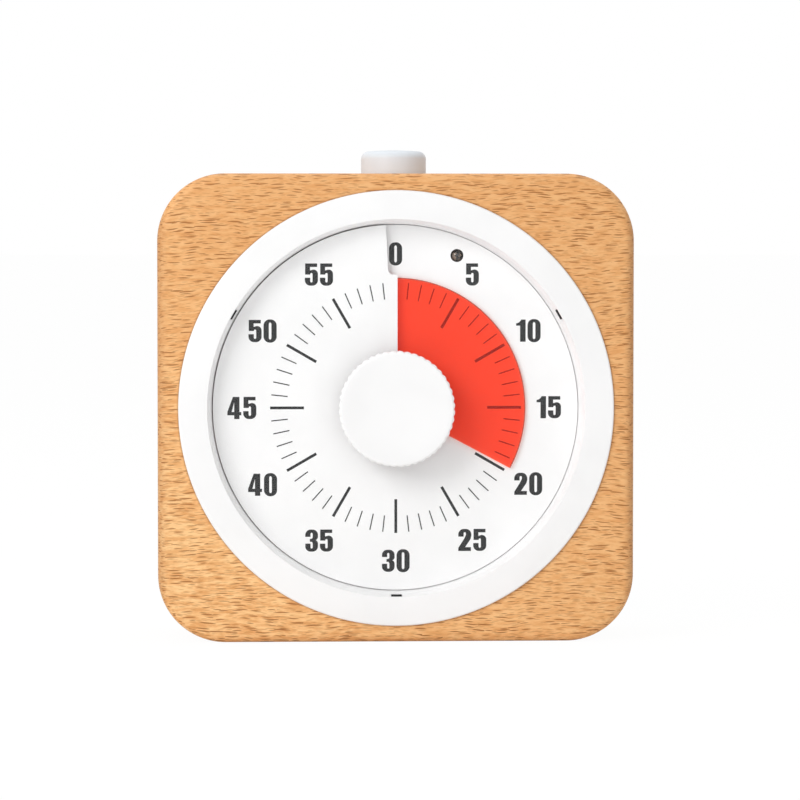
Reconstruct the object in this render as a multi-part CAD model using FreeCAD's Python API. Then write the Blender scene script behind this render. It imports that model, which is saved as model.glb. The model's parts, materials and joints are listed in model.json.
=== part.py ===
# Visual countdown timer: a wooden case with a white dial, a red disc that shows the minutes
# left, a turning knob in front of a clear lens, and a push button on top.
# Millimetres, +Z up, front towards -Y, origin at the middle of the face that it stands on.
import FreeCAD, Part
import math
import os

from FreeCAD import Vector

# Case
case_width = 120.0
case_height = 118.0
case_depth = 38.0
case_corner_radius = 17.0
case_edge_fillet = 2.5
case_wall_on_top = 7.6

# Bezel and barrel
bezel_overlap = 3.4
bezel_seat_clearance = 0.05
bezel_proud = 0.8
bezel_flange = 2.0
bezel_edge_fillet = 0.5
bezel_rim_width = 7.35
bezel_taper = 1.15
bezel_throat_depth = 6.0
barrel_clearance = 0.4
barrel_length = 12.3
ledge_depth = 10.0
ledge_thickness = 1.5
ledge_width = 2.9
boss_radius = 3.0
boss_inset = 5.0
boss_angles = (45, 135, 225, 315)
boss_hole_radius = 1.1

# Snap windows of the lens
window_angles = (60, 180, 300)
window_width = 2.9
window_height = 2.0
window_depth = 3.0
window_setback = 0.35

# Lens
lens_thickness = 1.0
lens_gap = 0.12
lens_tab_clearance = 0.15
lens_tab_length = 1.2
lens_hole_clearance = 0.3

# Split dial and time disc, both helicoids of one pitch
pitch = 2.0
dial_depth = 5.2
dial_thickness = 0.8
dial_rim_gap = 0.15
dial_hole_radius = 9.2
dial_overlap_angle = 8.0
dial_lip_offset = 0.4
dial_lip_clearance = 0.8
dial_notch_inner = 1.9
dial_notch_outer = 2.6
dial_notch_corner = 1.3
dial_skirt_width = 1.2
dial_skirt_inset = 1.0
disc_thickness = 0.4
disc_margin = 13.5
disc_set_angle = 118.0
disc_end_gap_angle = 1.0

# Hub, spindle and knob
hub_radius = 8.2
hub_front = 0.5
hub_back = 0.6
spindle_radius = 3.0
spindle_flat_width = 4.6
running_clearance = 0.05
knob_radius = 14.55
knob_rib_depth = 0.3
knob_ribs = 48
knob_proud = 4.8
knob_lens_gap = 0.5
knob_edge_fillet = 0.8
knob_wall = 1.7
knob_boss_radius = 5.2
knob_face = 1.8
spindle_in_knob = 3.0

# Chassis, gear train and motor
chassis_thickness = 1.6
chassis_gap = 0.4
bush_radius = 4.6
bush_flange_radius = 6.0
bush_front_depth = 9.0
gear_module = 0.4
spindle_teeth = 60
pinion_teeth = 15
middle_teeth = 30
gear_backlash = 0.12
tooth_height_factor = 0.9
spindle_wheel_depth = 14.6
spindle_wheel_thickness = 1.6
middle_wheel_depth = 17.2
middle_wheel_thickness = 1.4
pinion_overhang = 0.4
wheel_hole_count = 5
wheel_hole_radius = 1.8
wheel_hole_share = 0.7
middle_angle = 90.0
motor_angle = 60.0
arbor_radius = 0.8
back_plate_depth = 20.0
back_plate_thickness = 1.4
back_plate_margin = 4.0
pillar_radius = 1.8
pillar_places = ((-17.0, 0.0), (33.0, -12.0))
upper_pillar_inset = 16.4
upper_pillar_rise = 21.0
motor_radius = 9.0
motor_length = 8.0
motor_shaft_radius = 0.75
motor_edge_fillet = 1.0
clutch_radius = 5.6
clutch_thickness = 0.4

# Circuit board, light and sound
board_thickness = 1.6
board_depth = 15.0
board_boss_gap = 3.8
board_wheel_gap = 4.6
board_led_margin = 1.6
board_post_radius = 2.0
board_post_inset = 3.0
board_post_drop = 8.0
board_post_step = 5.0
board_screw_head_radius = 1.8
led_radius = 1.5
led_hole_clearance = 0.15
led_inset = 4.9
led_angle = 22.0
led_sunk = 0.2
led_length = 4.6
led_flange_radius = 1.8
led_flange = 0.8
led_leg_size = 0.45
led_leg_pitch = 1.27
buzzer_radius = 8.0
buzzer_length = 5.6
buzzer_inset = 26.4
buzzer_drop = 21.4
slot_count = 5
slot_width = 1.2
slot_length = 10.0
slot_pitch = 2.6
buzzer_port_radius = 1.5
buzzer_port_depth = 2.0
chip_size = 8.0
chip_thickness = 1.6
chip_shift = -12.0

# Top button
button_radius = 8.3
button_height = 6.2
button_skirt = 2.6
button_travel = 2.5
button_clearance = 0.4
button_top_fillet = 2.0
button_wall = 1.6
button_stem_radius = 3.0
guide_thickness = 2.0
guide_fit = 0.1
guide_seat = 0.2
clip_radius = 4.2
clip_thickness = 0.8
clip_gap = 0.1
clip_groove = 0.6
clip_mouth = 2.4
stem_below_guide = 6.4
spring_radius = 5.4
spring_wire = 0.35
spring_turns = 4
spring_sides = 16
tact_width = 6.0
tact_height = 4.5
tact_plunger_radius = 1.6
tact_plunger_height = 0.9
tact_gap = 0.3

# Rear cover, battery box and door
cover_overlap = 2.6
cover_thickness = 2.0
cover_clearance = 0.3
cover_lip_width = 1.0
cover_lip_length = 4.0
cover_edge_fillet = 0.4
box_wall = 1.2
cell_radius = 5.25
cell_length = 44.5
cell_tip_radius = 1.9
cell_tip = 0.8
cell_gap = 0.5
cell_side_room = 3.4
box_rim_margin = 2.65
door_gap = 0.3
door_pin_radius = 0.6
door_pin_length = 1.6
door_latch_width = 9.0
door_latch_height = 1.0
door_grip_count = 4
door_grip_pitch = 1.6
door_grip_width = 0.8
door_grip_depth = 0.4
door_grip_inset = 2.0
screw_head_radius = 2.3
screw_head_height = 1.2
screw_sink_clearance = 0.3
screw_shank_radius = 1.0
cover_screw_length = 9.0
small_screw_length = 4.0
chassis_screw_bite = 1.2
chassis_screw_inset = 0.4
chassis_screw_head_radius = 1.5
screw_tip_gap = 1.0
contact_thickness = 0.4
contact_height = 8.0
contact_width = 8.0
cell_spring_radius = 3.6
cell_spring_step = 0.7
cell_spring_rings = 3

# Volume switch
volume_inset = 22.4
volume_drop = 21.4
volume_body_width = 12.0
volume_body_height = 6.0
volume_body_depth = 5.0
volume_travel = 2.0
volume_nub_width = 3.2
volume_nub_height = 2.4
volume_nub_proud = 1.0
volume_slot_clearance = 0.3
volume_well_depth = 2.0
volume_groove_width = 0.4
volume_groove_pitch = 1.0

# Places that follow from the sizes above
case_bore_height = case_height / 2
case_bore_radius = case_height / 2 - case_wall_on_top
bezel_radius = case_bore_radius + bezel_overlap
bezel_mouth_radius = bezel_radius - bezel_rim_width
bezel_throat_radius = bezel_mouth_radius - bezel_taper
boss_circle_radius = case_bore_radius - boss_inset
upper_pillar_place = (boss_circle_radius - upper_pillar_inset, upper_pillar_rise)
buzzer_place = (buzzer_inset - boss_circle_radius, boss_circle_radius - buzzer_drop)
volume_place = (boss_circle_radius - volume_inset, boss_circle_radius - volume_drop)
cover_radius = case_bore_radius + cover_overlap
disc_radius = bezel_throat_radius - disc_margin
dial_lip_radius = disc_radius + dial_lip_clearance
led_circle_radius = bezel_throat_radius - led_inset
front_y = -case_depth / 2
back_y = case_depth / 2
dial_y = front_y + dial_depth
barrel_radius = case_bore_radius - barrel_clearance
dial_radius = bezel_throat_radius - dial_rim_gap
cover_inner_y = back_y - cover_thickness
bezel_face_y = front_y - bezel_proud
flange_back_y = bezel_face_y + bezel_flange
ledge_y = front_y + ledge_depth
chassis_y = ledge_y + ledge_thickness
chassis_back_y = chassis_y + chassis_thickness
window_y = bezel_face_y + window_setback
lens_y = window_y + (window_height - lens_thickness) / 2
lens_back_y = lens_y + lens_thickness
knob_face_y = front_y - knob_proud
knob_back_y = lens_y - knob_lens_gap
back_plate_y = front_y + back_plate_depth
back_plate_back_y = back_plate_y + back_plate_thickness
board_y = front_y + board_depth
board_back_y = board_y + board_thickness
board_bottom = gear_module * (spindle_teeth / 2 + tooth_height_factor) + board_wheel_gap
board_top = led_circle_radius * math.cos(math.radians(led_angle)) + board_led_margin
board_half_width = boss_circle_radius * math.sin(math.radians(45)) - boss_radius - board_boss_gap


def polar(radius, angle):
    """Return x and z at a clock angle, in degrees clockwise from twelve as seen from the front."""
    turn = math.radians(angle)
    return radius * math.sin(turn), case_bore_height + radius * math.cos(turn)


def rod(radius, y_from, y_to, x=0.0, z=case_bore_height):
    """A cylinder along Y."""
    return Part.makeCylinder(radius, y_to - y_from, Vector(x, y_from, z), Vector(0, 1, 0))


def tube(outer, inner, y_from, y_to, x=0.0, z=case_bore_height):
    """A round wall along Y."""
    return rod(outer, y_from, y_to, x, z).cut(rod(inner, y_from, y_to, x, z))


def post(radius, z_from, z_to, x=0.0, y=0.0):
    """A cylinder along Z."""
    return Part.makeCylinder(radius, z_to - z_from, Vector(x, y, z_from))


def block(x_from, x_to, y_from, y_to, z_from, z_to):
    """A box between two corners."""
    return Part.makeBox(x_to - x_from, y_to - y_from, z_to - z_from, Vector(x_from, y_from, z_from))


def turned(points, x=0.0, z=case_bore_height):
    """Revolve a closed outline of (radius, y) points about an axis along Y."""
    corners = [Vector(x + radius, y, z) for radius, y in points]
    face = Part.Face(Part.makePolygon(corners + corners[:1]))
    return face.revolve(Vector(x, 0, z), Vector(0, 1, 0), 360)


def edges_where(shape, test):
    """The edges whose middle point passes a test."""
    return [edge for edge in shape.Edges if test(edge.CenterOfMass)]


def rim_edges(shape, radius, y, x=0.0, z=case_bore_height):
    """The round edges of one radius about an axis along Y, in the plane at y."""
    found = []
    for edge in shape.Edges:
        curve = edge.Curve
        if not isinstance(curve, Part.Circle) or abs(curve.Radius - radius) > 0.01:
            continue
        middle = curve.Center
        if abs(middle.y - y) < 0.01 and abs(middle.x - x) < 0.01 and abs(middle.z - z) < 0.01:
            found.append(edge)
    return found


def flats(radius, width, y_from, y_to):
    """A round bar with two flats, as on a keyed spindle."""
    bar = rod(radius, y_from, y_to)
    keep = block(-width / 2, width / 2, y_from, y_to, case_bore_height - radius, case_bore_height + radius)
    return bar.common(keep)


def screw(x, z, head_y, length, direction=-1, head_radius=screw_head_radius):
    """A pan head screw along Y. Its head starts at head_y and its shank runs the given way."""
    head_far = head_y - direction * screw_head_height
    tip = head_y + direction * length
    head = rod(head_radius, min(head_y, head_far), max(head_y, head_far), x, z)
    shank = rod(screw_shank_radius, min(head_y, tip), max(head_y, tip), x, z)
    return head.fuse(shank)


# The helicoids

def helix_edge(radius, angle_from, angle_to, lift):
    """A curve that climbs one pitch towards the viewer for each turn, lifted from the dial plane."""
    steps = max(4, math.ceil((angle_to - angle_from) / 15))
    points = []
    for step in range(steps + 1):
        angle = angle_from + (angle_to - angle_from) * step / steps
        x, z = polar(radius, angle)
        points.append(Vector(x, dial_y - lift - pitch * angle / 360, z))
    curve = Part.BSplineCurve()
    curve.interpolate(points)
    return curve.toShape()


def helicoid(inner, outer, angle_from, angle_to, lift, depth):
    """A winding sheet between two radii, its first face lifted, grown by depth along Y."""
    start = helix_edge(inner, angle_from, angle_to, lift)
    end = helix_edge(outer, angle_from, angle_to, lift)
    return Part.makeRuledSurface(start, end).extrude(Vector(0, depth, 0))


def make_dial_plate():
    """The printed dial: one turn of a winding sheet, with a lip at twelve and a skirt behind."""
    lift = -pitch / 2 + dial_thickness / 2
    last = 360 + math.degrees(math.asin(dial_lip_offset / dial_hole_radius)) + 0.5
    sheet = helicoid(dial_hole_radius, dial_radius, -dial_overlap_angle, last, lift, dial_thickness)
    # The lip ends on a straight line beside twelve, and steps back outside the disc.
    upper_front = dial_y - pitch
    upper_back = dial_y
    reach = dial_radius + pitch / 2
    beyond = block(dial_lip_offset, reach / 2, upper_front, upper_back,
                   case_bore_height, case_bore_height + reach)
    corners = [
        Vector(-dial_notch_inner, upper_front, case_bore_height + dial_lip_radius),
        Vector(-dial_notch_outer, upper_front, case_bore_height + reach),
        Vector(dial_lip_offset, upper_front, case_bore_height + reach),
        Vector(dial_lip_offset, upper_front, case_bore_height + dial_lip_radius),
    ]
    notch = Part.Face(Part.makePolygon(corners + corners[:1])).extrude(Vector(0, upper_back - upper_front, 0))
    inner_corner = edges_where(notch, lambda p: abs(p.x + dial_notch_inner) < 0.01
                               and abs(p.z - case_bore_height - dial_lip_radius) < 0.01)
    notch = notch.makeFillet(dial_notch_corner, inner_corner)
    keep_angle = 40
    near_twelve = beyond.cut(block_outside_angle(keep_angle, upper_front, upper_back, reach))
    sheet = sheet.cut(near_twelve).cut(notch)
    # The skirt stands on the ledge of the barrel and follows the winding sheet.
    skirt_outer = dial_radius - dial_skirt_inset
    skirt = tube(skirt_outer, skirt_outer - dial_skirt_width, dial_y - pitch, ledge_y)
    third = 360 / 3
    for part in range(3):
        inner = skirt_outer - dial_skirt_width - pitch
        skirt = skirt.cut(
            helicoid(inner, dial_radius + pitch, part * third, (part + 1) * third, -pitch / 2, -pitch * 3))
    plate = sheet.fuse(skirt)
    x, z = polar(led_circle_radius, led_angle)
    return plate.cut(rod(led_radius + led_hole_clearance, dial_y - pitch * 2, dial_y + pitch * 2, x, z))


def block_outside_angle(angle, y_from, y_to, reach):
    """A wedge of space beyond a clock angle, to the right of it."""
    far = reach * 2
    x, z = polar(far, angle)
    corners = [
        Vector(0, y_from, case_bore_height),
        Vector(x, y_from, z),
        Vector(far, y_from, case_bore_height),
    ]
    return Part.Face(Part.makePolygon(corners + corners[:1])).extrude(Vector(0, y_to - y_from, 0))


def make_time_disc():
    """The red disc: just under one turn, interleaved with the dial through the slit at twelve."""
    first = disc_set_angle - 360 + disc_end_gap_angle
    return helicoid(hub_radius, disc_radius, first, disc_set_angle, disc_thickness / 2, disc_thickness)


def make_disc_hub():
    """The keyed sleeve that carries the disc along the spindle."""
    top = dial_y - pitch * disc_set_angle / 360
    front = top - hub_front
    back = top + pitch + hub_back
    bore = flats(spindle_radius + running_clearance, spindle_flat_width + running_clearance * 2, front, back)
    return rod(hub_radius, front, back).cut(bore)


# The turning pieces in front

def make_spindle():
    """A round shaft with two flats where the hub slides and where the knob grips."""
    front = knob_face_y + knob_face
    tail = back_plate_back_y + chassis_gap
    keyed_to = front_y + bush_front_depth - chassis_gap
    keyed = flats(spindle_radius, spindle_flat_width, front, keyed_to)
    return keyed.fuse(rod(spindle_radius, keyed_to, tail))


def ribbed_outline(radius, depth, ribs, y):
    """A closed wire of small outward arcs."""
    arcs = []
    step = 360 / ribs
    for rib in range(ribs):
        ends_and_crest = []
        for reach, angle in ((radius - depth, rib), (radius, rib + 0.5), (radius - depth, rib + 1)):
            x, z = polar(reach, angle * step)
            ends_and_crest.append(Vector(x, y, z))
        arcs.append(Part.Arc(*ends_and_crest).toShape())
    return Part.Wire(arcs)


def make_knob():
    """A ribbed cap: rounded front edge, hollow back, keyed boss on the spindle."""
    ribbed = Part.Face(ribbed_outline(knob_radius, knob_rib_depth, knob_ribs, knob_face_y))
    body = ribbed.extrude(Vector(0, knob_back_y - knob_face_y, 0))
    limit = turned([
        (0, knob_face_y),
        (knob_radius - knob_edge_fillet, knob_face_y),
        (knob_radius - knob_edge_fillet * 0.3, knob_face_y + knob_edge_fillet * 0.3),
        (knob_radius + 0.01, knob_face_y + knob_edge_fillet),
        (knob_radius + 0.01, knob_back_y),
        (0, knob_back_y),
    ])
    body = body.common(limit)
    hollow = tube(knob_radius - knob_wall, knob_boss_radius, knob_face_y + knob_face, knob_back_y)
    bore = flats(spindle_radius, spindle_flat_width, knob_face_y + knob_face, knob_back_y)
    return body.cut(hollow).cut(bore)


# The case and what is fitted into it from the front

def make_wood_case():
    """A solid wooden block with rounded corners, bored right through, with a button hole on top."""
    half = case_width / 2
    body = block(-half, half, front_y, back_y, 0, case_height)
    upright = [edge for edge in body.Edges if abs(edge.CenterOfMass.y) < 0.01]
    body = body.makeFillet(case_corner_radius, upright)
    outline = edges_where(body, lambda p: abs(abs(p.y) - case_depth / 2) < 0.01)
    body = body.makeFillet(case_edge_fillet, outline)
    body = body.cut(rod(case_bore_radius, front_y, back_y))
    seat = bezel_radius + bezel_seat_clearance
    body = body.cut(rod(seat, front_y - 1, flange_back_y))
    body = body.cut(rod(cover_radius + cover_clearance, cover_inner_y, back_y + 1))
    hole = post(button_radius + button_clearance, case_bore_height + case_bore_radius / 2, case_height + 1)
    return body.cut(hole)


def make_bezel():
    """The white ring, its tapered wall, the barrel behind it and four screw bosses."""
    throat_y = bezel_face_y + bezel_throat_depth
    barrel_end = flange_back_y + barrel_length
    ledge_inner = bezel_throat_radius - ledge_width
    ring = turned([
        (bezel_mouth_radius, bezel_face_y),
        (bezel_radius, bezel_face_y),
        (bezel_radius, flange_back_y),
        (barrel_radius, flange_back_y),
        (barrel_radius, barrel_end),
        (bezel_throat_radius, barrel_end),
        (bezel_throat_radius, chassis_y),
        (ledge_inner, chassis_y),
        (ledge_inner, ledge_y),
        (bezel_throat_radius, ledge_y),
        (bezel_throat_radius, throat_y),
    ])
    ring = ring.makeFillet(bezel_edge_fillet, rim_edges(ring, bezel_radius, bezel_face_y))
    for angle in boss_angles:
        x, z = polar(boss_circle_radius, angle)
        boss = rod(boss_radius, barrel_end - 1, cover_inner_y, x, z)
        boss_hole = rod(boss_hole_radius, cover_inner_y - cover_screw_length, cover_inner_y, x, z)
        ring = ring.fuse(boss.cut(boss_hole))
    ring = ring.cut(rod(bezel_throat_radius, chassis_y, chassis_back_y))
    for x, z in chassis_screw_places():
        ring = ring.cut(rod(screw_shank_radius, chassis_y - chassis_screw_bite, chassis_y, x, z))
    for angle in window_angles:
        ring = ring.cut(radial_block(angle, bezel_throat_radius - 1, bezel_mouth_radius + window_depth,
                                     window_width, window_y, window_y + window_height))
    return ring


def radial_block(angle, inner, outer, width, y_from, y_to):
    """A box that points outwards at a clock angle."""
    piece = block(-width / 2, width / 2, y_from, y_to, case_bore_height + inner, case_bore_height + outer)
    piece.rotate(Vector(0, 0, case_bore_height), Vector(0, 1, 0), angle)
    return piece


def mouth_radius_at(y):
    """The radius of the bezel's tapered wall at a depth."""
    share = (y - bezel_face_y) / bezel_throat_depth
    return bezel_mouth_radius - (bezel_mouth_radius - bezel_throat_radius) * share


def make_lens():
    """The clear window, held by three tabs in the bezel's windows, with a hole for the spindle."""
    rim = mouth_radius_at(lens_back_y) - lens_gap
    lens = rod(rim, lens_y, lens_back_y)
    tab_width = window_width - 2 * lens_tab_clearance
    tab_end = bezel_mouth_radius + lens_tab_length
    for angle in window_angles:
        lens = lens.fuse(radial_block(angle, rim - 1, tab_end, tab_width, lens_y, lens_back_y))
    return lens.cut(rod(spindle_radius + lens_hole_clearance, lens_y, lens_back_y)).removeSplitter()


# The movement

def gear_outline(teeth, y, phase):
    """A closed wire of involute teeth, thinned by the backlash, one tooth centred on a clock angle."""
    pitch_radius = gear_module * teeth / 2
    base_radius = pitch_radius * math.cos(math.radians(20))
    tip = pitch_radius + gear_module * tooth_height_factor
    root = pitch_radius - gear_module * 1.2

    def involute(radius):
        return math.tan(math.acos(base_radius / radius)) - math.acos(base_radius / radius)

    half_at_pitch = math.pi / teeth / 2 - gear_backlash / 2 / pitch_radius
    low = max(root, base_radius)
    flank = []
    for radius in (low, (low + tip) / 2, tip):
        flank.append((radius, half_at_pitch + involute(pitch_radius) - involute(radius)))
    points = []
    for tooth in range(teeth):
        middle = math.radians(phase) + 2 * math.pi * tooth / teeth
        foot = [(root, flank[0][1])] if root < low - 0.01 else []
        for radius, half in foot + flank:
            points.append((radius, middle - half))
        for radius, half in reversed(foot + flank):
            points.append((radius, middle + half))
    corners = [Vector(r * math.sin(a), y, r * math.cos(a)) for r, a in points]
    return Part.makePolygon(corners + corners[:1])


def gear(teeth, x, z, y_from, y_to, phase):
    """A spur gear along Y."""
    wheel = Part.Face(gear_outline(teeth, y_from, phase)).extrude(Vector(0, y_to - y_from, 0))
    wheel.translate(Vector(x, 0, z))
    return wheel


spindle_mesh = gear_module * (spindle_teeth + pinion_teeth) / 2
middle_mesh = gear_module * (middle_teeth + pinion_teeth) / 2
middle_x, middle_z = polar(spindle_mesh, middle_angle)
motor_x = middle_x + middle_mesh * math.sin(math.radians(motor_angle))
motor_z = middle_z + middle_mesh * math.cos(math.radians(motor_angle))
spindle_wheel_y = front_y + spindle_wheel_depth
spindle_wheel_back = spindle_wheel_y + spindle_wheel_thickness
middle_wheel_y = front_y + middle_wheel_depth
middle_wheel_back = middle_wheel_y + middle_wheel_thickness


def make_spindle_wheel():
    """The wheel on the spindle, with five round lightening holes."""
    wheel = gear(spindle_teeth, 0, case_bore_height, spindle_wheel_y, spindle_wheel_back, middle_angle)
    hole_circle = gear_module * spindle_teeth / 2 * wheel_hole_share
    for hole in range(wheel_hole_count):
        x, z = polar(hole_circle, hole * 360 / wheel_hole_count)
        wheel = wheel.cut(rod(wheel_hole_radius, spindle_wheel_y, spindle_wheel_back, x, z))
    return wheel.cut(rod(spindle_radius, spindle_wheel_y, spindle_wheel_back))


def make_clutch_spring():
    """The dished washer that presses on the spindle wheel, so that the knob can slip past the train."""
    y = spindle_wheel_back
    inner = spindle_radius
    return turned([
        (inner, y + clutch_thickness),
        (clutch_radius, y),
        (clutch_radius, y + clutch_thickness),
        (inner, y + clutch_thickness * 2),
    ])


def make_middle_wheel():
    """A pinion and a wheel on one arbor."""
    pinion_phase = middle_angle + 180 + 180 / pinion_teeth
    pinion = gear(pinion_teeth, middle_x, middle_z, spindle_wheel_y - pinion_overhang, middle_wheel_y,
                  pinion_phase)
    wheel = gear(middle_teeth, middle_x, middle_z, middle_wheel_y, middle_wheel_back, motor_angle)
    arbor = rod(arbor_radius, chassis_y, back_plate_back_y, middle_x, middle_z)
    return pinion.fuse(wheel).fuse(arbor)


def make_motor_pinion():
    """The pinion pressed on the motor's shaft."""
    phase = motor_angle + 180 + 180 / pinion_teeth
    pinion = gear(pinion_teeth, motor_x, motor_z, middle_wheel_y - pinion_overhang,
                  middle_wheel_back + pinion_overhang, phase)
    return pinion.cut(rod(motor_shaft_radius, middle_wheel_y - 1, middle_wheel_back + 1, motor_x, motor_z))


def make_motor_shaft():
    """The motor's shaft, from the pinion into the motor."""
    front = middle_wheel_y - pinion_overhang
    return rod(motor_shaft_radius, front, back_plate_back_y + motor_length / 2, motor_x, motor_z)


def make_motor():
    """A flat can motor, bored for its shaft."""
    can = rod(motor_radius, back_plate_back_y, back_plate_back_y + motor_length, motor_x, motor_z)
    far_end = rim_edges(can, motor_radius, back_plate_back_y + motor_length, motor_x, motor_z)
    can = can.makeFillet(motor_edge_fillet, far_end)
    bore = rod(motor_shaft_radius + running_clearance, back_plate_back_y,
               back_plate_back_y + motor_length / 2 + running_clearance, motor_x, motor_z)
    return can.cut(bore)


def make_chassis():
    """The round plate behind the dial, with posts for the circuit board and pillars' seats."""
    radius = bezel_throat_radius - chassis_gap
    plate = rod(radius, chassis_y, chassis_back_y)
    for angle in boss_angles:
        x, z = polar(boss_circle_radius, angle)
        plate = plate.cut(rod(boss_radius + chassis_gap, chassis_y, chassis_back_y, x, z))
    for x, z in board_post_places():
        plate = plate.fuse(rod(board_post_radius, chassis_back_y, board_y, x, z))
        plate = plate.cut(rod(screw_shank_radius, board_y - small_screw_length, board_y, x, z))
    plate = plate.cut(rod(bush_radius, chassis_y, chassis_back_y))
    plate = plate.cut(rod(arbor_radius + running_clearance, chassis_y, chassis_back_y, middle_x, middle_z))
    x, z = polar(led_circle_radius, led_angle)
    plate = plate.cut(rod(led_flange_radius, chassis_y, chassis_back_y, x, z))
    for x, z in chassis_screw_places():
        plate = plate.cut(rod(screw_shank_radius, chassis_y, chassis_back_y, x, z))
    for x, z in pillar_centres():
        plate = plate.cut(rod(screw_shank_radius, chassis_y, chassis_back_y, x, z))
    return plate


def board_post_places():
    """The four corners where the circuit board is screwed down."""
    low = case_bore_height + board_bottom + board_post_inset
    high = case_bore_height + board_top - board_post_inset
    side = board_half_width - board_post_inset
    upper = high - board_post_drop
    return [(-side, low), (side, low), (-side, upper), (side - board_post_step, upper)]


def chassis_screw_places():
    """Three screws from the chassis into the ledge."""
    middle = bezel_throat_radius - ledge_width / 2
    return [polar(middle - chassis_screw_inset, angle) for angle in (10, 170, 270)]


def pillar_centres():
    """The pillars' places round the gear train."""
    return [(x, case_bore_height + z) for x, z in (*pillar_places, upper_pillar_place)]


def make_spindle_bush():
    """The flanged bush that carries the spindle in the chassis."""
    flange_y = front_y + bush_front_depth
    shoulder = rod(bush_flange_radius, flange_y, chassis_y)
    bush = rod(bush_radius, flange_y, chassis_back_y).fuse(shoulder)
    return bush.cut(rod(spindle_radius + running_clearance, flange_y, chassis_back_y)).removeSplitter()


def make_back_plate():
    """The rounded triangular plate that closes the gear train."""
    corners = [Vector(x, back_plate_y, z) for x, z in pillar_centres()]
    outline = Part.makePolygon(corners + corners[:1]).makeOffset2D(back_plate_margin)
    plate = Part.Face(outline).extrude(Vector(0, back_plate_thickness, 0))
    span = (back_plate_y, back_plate_back_y)
    plate = plate.cut(rod(spindle_radius + running_clearance, *span))
    plate = plate.cut(rod(arbor_radius + running_clearance, *span, middle_x, middle_z))
    plate = plate.cut(rod(motor_shaft_radius + chassis_gap, *span, motor_x, motor_z))
    for x, z in pillar_centres():
        plate = plate.cut(rod(screw_shank_radius, *span, x, z))
    return plate


def make_pillars():
    """Three pillars between the chassis and the back plate."""
    span = (chassis_back_y, back_plate_y)
    return [tube(pillar_radius, screw_shank_radius, *span, x, z) for x, z in pillar_centres()]


def make_gear_screws():
    """Screws through the back plate into the pillars."""
    return [screw(x, z, back_plate_back_y, small_screw_length) for x, z in pillar_centres()]


def make_chassis_screws():
    """Screws through the chassis into the ledge."""
    length = chassis_thickness + chassis_screw_bite
    places = chassis_screw_places()
    return [screw(x, z, chassis_back_y, length, head_radius=chassis_screw_head_radius) for x, z in places]


# Circuit board, light and sound

def make_circuit_board():
    """The board with its screw holes."""
    low = case_bore_height + board_bottom
    high = case_bore_height + board_top
    board = block(-board_half_width, board_half_width, board_y, board_back_y, low, high)
    for x, z in board_post_places():
        board = board.cut(rod(screw_shank_radius, board_y, board_back_y, x, z))
    x, z = polar(led_circle_radius, led_angle)
    return board.cut(led_legs(x, z, board_y, board_back_y))


def led_legs(x, z, y_from, y_to):
    """Two square legs, side by side."""
    half = led_leg_size / 2
    left = block(x - led_leg_pitch - half, x - led_leg_pitch + half, y_from, y_to, z - half, z + half)
    right = block(x + led_leg_pitch - half, x + led_leg_pitch + half, y_from, y_to, z - half, z + half)
    return left.fuse(right)


def make_indicator_led():
    """A 3 mm light in the dial, on two legs from the board."""
    x, z = polar(led_circle_radius, led_angle)
    tip = dial_y + pitch / 2 - pitch * led_angle / 360 - dial_thickness / 2 + led_sunk
    end = tip + led_length
    body = rod(led_radius, tip + led_radius, end, x, z)
    dome = Part.makeSphere(led_radius, Vector(x, tip + led_radius, z))
    flange = rod(led_flange_radius, end - led_flange, end, x, z)
    legs = led_legs(x, z, end - led_flange, board_back_y)
    return body.fuse(dome).fuse(flange).fuse(legs).removeSplitter()


def make_board_screws():
    """Screws through the board into its posts."""
    length = small_screw_length
    places = board_post_places()
    return [screw(x, z, board_back_y, length, head_radius=board_screw_head_radius) for x, z in places]


def make_chip():
    """The controller chip on the back of the board."""
    middle = case_bore_height + (board_bottom + board_top) / 2
    half = chip_size / 2
    return block(chip_shift - half, chip_shift + half, board_back_y, board_back_y + chip_thickness,
                 middle - half, middle + half)


def make_buzzer():
    """The round buzzer behind the sound slots."""
    x, z = buzzer_place[0], case_bore_height + buzzer_place[1]
    can = rod(buzzer_radius, cover_inner_y - buzzer_length, cover_inner_y, x, z)
    return can.cut(rod(buzzer_port_radius, cover_inner_y - buzzer_port_depth, cover_inner_y, x, z))


# Top button

guide_bottom = case_bore_height + case_bore_radius + guide_seat
guide_top = guide_bottom + guide_thickness
button_top = case_height + button_height
button_rim = case_height - button_skirt
cap_underside = button_top - button_wall
stem_end = guide_bottom - stem_below_guide


def make_top_button():
    """A hollow round cap with a stem that runs in the guide."""
    cap = post(button_radius, button_rim, button_top)
    top_edge = edges_where(cap, lambda p: p.z > button_top - 0.01)
    cap = cap.makeFillet(button_top_fillet, top_edge)
    cap = cap.cut(post(button_radius - button_wall, button_rim, cap_underside))
    stem = post(button_stem_radius, stem_end, cap_underside)
    groove_top = guide_bottom - clip_gap
    groove_low = groove_top - clip_thickness
    groove = post(button_stem_radius, groove_low, groove_top).cut(
        post(button_stem_radius - clip_groove, groove_low, groove_top))
    return cap.fuse(stem).cut(groove)


def make_button_clip():
    """The snap ring in the stem's groove that stops the button from lifting out."""
    top = guide_bottom - clip_gap
    ring = post(clip_radius, top - clip_thickness, top)
    ring = ring.cut(post(button_stem_radius - clip_groove, top - clip_thickness, top))
    return ring.cut(block(-clip_mouth / 2, clip_mouth / 2, 0, clip_radius + 1, top - clip_thickness, top))


def make_button_guide():
    """The disc pressed into the bottom of the button hole."""
    disc = post(button_radius + button_clearance - guide_fit, guide_bottom, guide_top)
    return disc.cut(post(button_stem_radius + running_clearance, guide_bottom, guide_top))


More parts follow.
